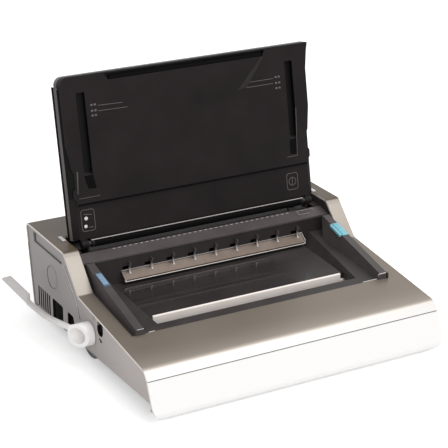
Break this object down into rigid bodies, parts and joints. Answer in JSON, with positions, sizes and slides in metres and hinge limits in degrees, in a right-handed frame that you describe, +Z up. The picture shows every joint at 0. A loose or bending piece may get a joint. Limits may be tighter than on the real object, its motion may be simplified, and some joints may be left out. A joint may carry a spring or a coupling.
{
  "type": "electric wire binding machine",
  "caption": "Desk machine that punches square holes along a sheet edge and closes a double-loop wire with a side lever, under a hinged lid.",
  "frame": {"origin": "on the table, under the middle of the box round the whole machine at rest, lever included", "axes": "+Z up, -Y the front where the user stands, +X to the user's right"},
  "size_m": [0.4848, 0.4018, 0.3582],
  "materials": {
    "silver_shell": "satin champagne paint",
    "pale_fascia": "satin pale silver paint",
    "silver_panel": "satin silver paint",
    "black_plastic": "fine grained",
    "gloss_black": "polished",
    "cyan_tab": "smooth",
    "blue_tab": "smooth",
    "pale_lever": "smooth",
    "steel": "ground",
    "dark_steel": "black coated",
    "bush_brass": "turned",
    "rubber": "matt",
    "board_green": "lacquered",
    "motor_can": "zinc plated",
    "gear_nylon": "moulded",
    "switch_black": "polished"
  },
  "bodies": {
    "housing": {"top_cowl": "silver_shell", "front_fascia": "pale_fascia", "left_side_panel": "silver_panel", "right_side_panel": "silver_panel", "rear_cover": "silver_shell", "mains_inlet": "black_plastic", "power_switch": "black_plastic", "base_pan": "black_plastic", "rubber_feet": "rubber", "foot_screws": "steel", "grip_cup": "black_plastic", "deck_surround": "black_plastic", "inner_deck": "gloss_black", "left_arm": "black_plastic", "right_arm": "black_plastic", "throat_lip": "black_plastic", "throat_wall": "black_plastic", "throat_plate": "black_plastic", "die_plate": "dark_steel", "punch_guide": "dark_steel", "sheet_stop": "black_plastic", "wire_stand": "steel", "wire_hooks": "steel", "left_frame": "dark_steel", "right_frame": "dark_steel", "tie_rods": "steel", "lid_hinge_pins": "dark_steel", "closer_bushes": "bush_brass", "punch_bushes": "bush_brass", "motor": "motor_can", "guide_rods": "steel", "closer_anvil": "dark_steel", "control_board": "board_green", "rear_screws": "steel"},
    "lid": {"lid_shell": "gloss_black", "lid_liner": "black_plastic"},
    "lever": {"closing_lever": "pale_lever", "closer_shaft": "steel", "closer_cams": "steel"},
    "closer": {"closer_bar": "steel", "closer_carriage": "dark_steel"},
    "dial": {"size_dial": "black_plastic"},
    "left_button": {"left_tab": "blue_tab"},
    "right_button": {"right_tab": "cyan_tab"},
    "drawer": {"waste_drawer": "black_plastic"},
    "stop_slider": {"edge_guide": "black_plastic"},
    "rocker": {"power_rocker": "switch_black"},
    "punch_axle": {"punch_shaft": "steel", "punch_cams": "steel", "drive_gear": "gear_nylon"},
    "punch": {"punch_beam": "dark_steel", "punch_pins": "steel"},
    "pinion": {"motor_pinion": "steel"}
  },
  "joints": [
    {"name": "lid_hinge", "type": "hinge", "parent": "housing", "child": "lid", "pos_m": [0.02188, 0.0892, 0.1305], "axis": [1, 0, 0], "range_deg": [0, 113.5]},
    {"name": "lever_turn", "type": "hinge", "parent": "housing", "child": "lever", "pos_m": [0.02188, -0.0128, 0.048], "axis": [1, 0, 0], "range_deg": [0, 110]},
    {"name": "closer_slide", "type": "slide", "parent": "housing", "child": "closer", "axis": [0, -1, 0], "range_m": [0, 0.0141]},
    {"name": "dial_turn", "type": "hinge", "parent": "housing", "child": "dial", "pos_m": [0.02188, -0.0128, 0.048], "axis": [1, 0, 0], "range_deg": [-100, 100]},
    {"name": "left_tab_press", "type": "slide", "parent": "housing", "child": "left_button", "axis": [0, 0, -1], "range_m": [0, 0.0025], "stiffness_N_per_m": 400, "springref_m": -0.001},
    {"name": "right_tab_press", "type": "slide", "parent": "housing", "child": "right_button", "axis": [0, 0, -1], "range_m": [0, 0.0025], "stiffness_N_per_m": 400, "springref_m": -0.001},
    {"name": "drawer_slide", "type": "slide", "parent": "housing", "child": "drawer", "axis": [1, 0, 0], "range_m": [0, 0.25]},
    {"name": "edge_guide_slide", "type": "slide", "parent": "housing", "child": "stop_slider", "axis": [1, 0, 0], "range_m": [-0.012, 0.018]},
    {"name": "rocker_tilt", "type": "hinge", "parent": "housing", "child": "rocker", "pos_m": [0.18888, 0.18516, 0.04849], "axis": [1, 0, 0], "range_deg": [0, 12]},
    {"name": "punch_turn", "type": "hinge", "parent": "housing", "child": "punch_axle", "pos_m": [0.02188, 0.1253, 0.06], "axis": [1, 0, 0], "range_deg": [0, 150.2]},
    {"name": "punch_slide", "type": "slide", "parent": "housing", "child": "punch", "axis": [0, -1, 0], "range_m": [0, 0.009]},
    {"name": "pinion_turn", "type": "hinge", "parent": "housing", "child": "pinion", "pos_m": [0.02188, 0.1553, 0.0825], "axis": [1, 0, 0], "range_deg": [-602, 2]}
  ],
  "couplings": [
    {"joint": "closer_slide", "follows": "lever_turn", "m_per_rad": 0.0072922},
    {"joint": "punch_turn", "follows": "punch_slide", "rad_per_m": 290.89},
    {"joint": "pinion_turn", "follows": "punch_slide", "rad_per_m": -1163.6}
  ]
}
